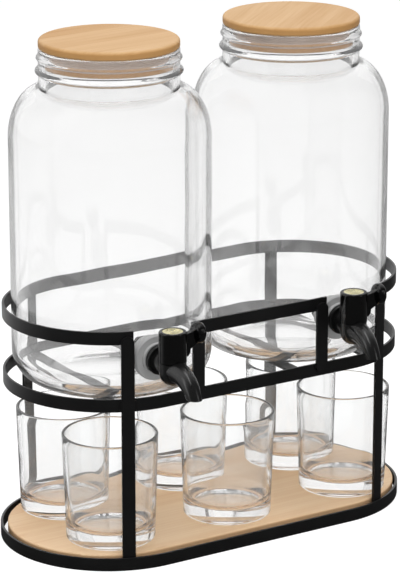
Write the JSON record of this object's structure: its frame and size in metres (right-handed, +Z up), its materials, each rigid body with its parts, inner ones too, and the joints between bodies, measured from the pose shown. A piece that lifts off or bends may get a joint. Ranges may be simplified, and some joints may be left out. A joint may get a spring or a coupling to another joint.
{
  "type": "drink dispenser set",
  "caption": "Two clear glass jars with bamboo lids and lever taps in a black flat-bar rack, over a bamboo tray of glass tumblers.",
  "frame": {"origin": "on the floor under the middle of the rack, on the underside of the middle tray bar", "axes": "+Z up, front with the taps towards -Y, +X to the right as seen from the front"},
  "size_m": [0.338, 0.2271, 0.388],
  "materials": {
    "black_steel": "fine satin black powder coat",
    "jar_glass": "clear pressed glass, wavy at the base",
    "tumbler_glass": "clear glass with a heavy base",
    "bamboo_tray": "satin lacquered bamboo laminate",
    "bamboo_lid": "satin lacquered bamboo laminate",
    "lid_silicone": "milky translucent silicone",
    "tap_plastic": "semi-gloss moulded black",
    "valve_plastic": "plain white moulding",
    "tap_disc_metal": "pale brass, lightly turned",
    "washer_silicone": "grey translucent silicone"
  },
  "bodies": {
    "rack": {"base_ring": "black_steel", "shelf_ring": "black_steel", "upper_ring_rear": "black_steel", "upper_ring_front": "black_steel", "post_front_left": "black_steel", "post_front_right": "black_steel", "post_rear_left": "black_steel", "post_rear_right": "black_steel", "short_post_left": "black_steel", "short_post_right": "black_steel", "jar_cross_bars": "black_steel", "tray_cross_bars": "black_steel", "weld_beads": "black_steel"},
    "tray": {"tray": "bamboo_tray"},
    "tumbler_front_left": {"tumbler_front_left": "tumbler_glass"},
    "tumbler_rear_left": {"tumbler_rear_left": "tumbler_glass"},
    "tumbler_front_middle": {"tumbler_front_middle": "tumbler_glass"},
    "tumbler_rear_middle": {"tumbler_rear_middle": "tumbler_glass"},
    "tumbler_front_right": {"tumbler_front_right": "tumbler_glass"},
    "tumbler_rear_right": {"tumbler_rear_right": "tumbler_glass"},
    "left_jar": {"left_jar": "jar_glass", "left_tap_body": "tap_plastic", "left_tap_outer_washer": "washer_silicone", "left_tap_inner_washer": "washer_silicone", "left_tap_nut": "tap_plastic"},
    "left_lid": {"left_lid": "bamboo_lid", "left_lid_seal": "lid_silicone"},
    "left_tap_handle": {"left_tap_handle": "tap_plastic", "left_tap_disc": "tap_disc_metal", "left_tap_valve_plug": "valve_plastic"},
    "right_jar": {"right_jar": "jar_glass", "right_tap_body": "tap_plastic", "right_tap_outer_washer": "washer_silicone", "right_tap_inner_washer": "washer_silicone", "right_tap_nut": "tap_plastic"},
    "right_lid": {"right_lid": "bamboo_lid", "right_lid_seal": "lid_silicone"},
    "right_tap_handle": {"right_tap_handle": "tap_plastic", "right_tap_disc": "tap_disc_metal", "right_tap_valve_plug": "valve_plastic"}
  },
  "joints": [
    {"name": "tray_lift", "type": "slide", "parent": "rack", "child": "tray", "axis": [0, 0, 1], "range_m": [0, 0.012]},
    {"name": "tumbler_front_left_lift", "type": "slide", "parent": "tray", "child": "tumbler_front_left", "axis": [0, 0, 1], "range_m": [0, 0.016]},
    {"name": "tumbler_rear_left_lift", "type": "slide", "parent": "tray", "child": "tumbler_rear_left", "axis": [0, 0, 1], "range_m": [0, 0.016]},
    {"name": "tumbler_front_middle_lift", "type": "slide", "parent": "tray", "child": "tumbler_front_middle", "axis": [0, 0, 1], "range_m": [0, 0.016]},
    {"name": "tumbler_rear_middle_lift", "type": "slide", "parent": "tray", "child": "tumbler_rear_middle", "axis": [0, 0, 1], "range_m": [0, 0.016]},
    {"name": "tumbler_front_right_lift", "type": "slide", "parent": "tray", "child": "tumbler_front_right", "axis": [0, 0, 1], "range_m": [0, 0.016]},
    {"name": "tumbler_rear_right_lift", "type": "slide", "parent": "tray", "child": "tumbler_rear_right", "axis": [0, 0, 1], "range_m": [0, 0.016]},
    {"name": "left_jar_lift", "type": "slide", "parent": "rack", "child": "left_jar", "axis": [0, 0, 1], "range_m": [0, 0.08]},
    {"name": "left_lid_lift", "type": "slide", "parent": "left_jar", "child": "left_lid", "axis": [0, 0, 1], "range_m": [0, 0.03]},
    {"name": "left_tap_turn", "type": "hinge", "parent": "left_jar", "child": "left_tap_handle", "pos_m": [-0.09106, -0.10307, 0.163], "axis": [0, 0, -1], "range_deg": [0, 90]},
    {"name": "right_jar_lift", "type": "slide", "parent": "rack", "child": "right_jar", "axis": [0, 0, 1], "range_m": [0, 0.08]},
    {"name": "right_lid_lift", "type": "slide", "parent": "right_jar", "child": "right_lid", "axis": [0, 0, 1], "range_m": [0, 0.03]},
    {"name": "right_tap_turn", "type": "hinge", "parent": "right_jar", "child": "right_tap_handle", "pos_m": [0.06975, -0.10294, 0.1669], "axis": [0, 0, -1], "range_deg": [0, 90]}
  ]
}
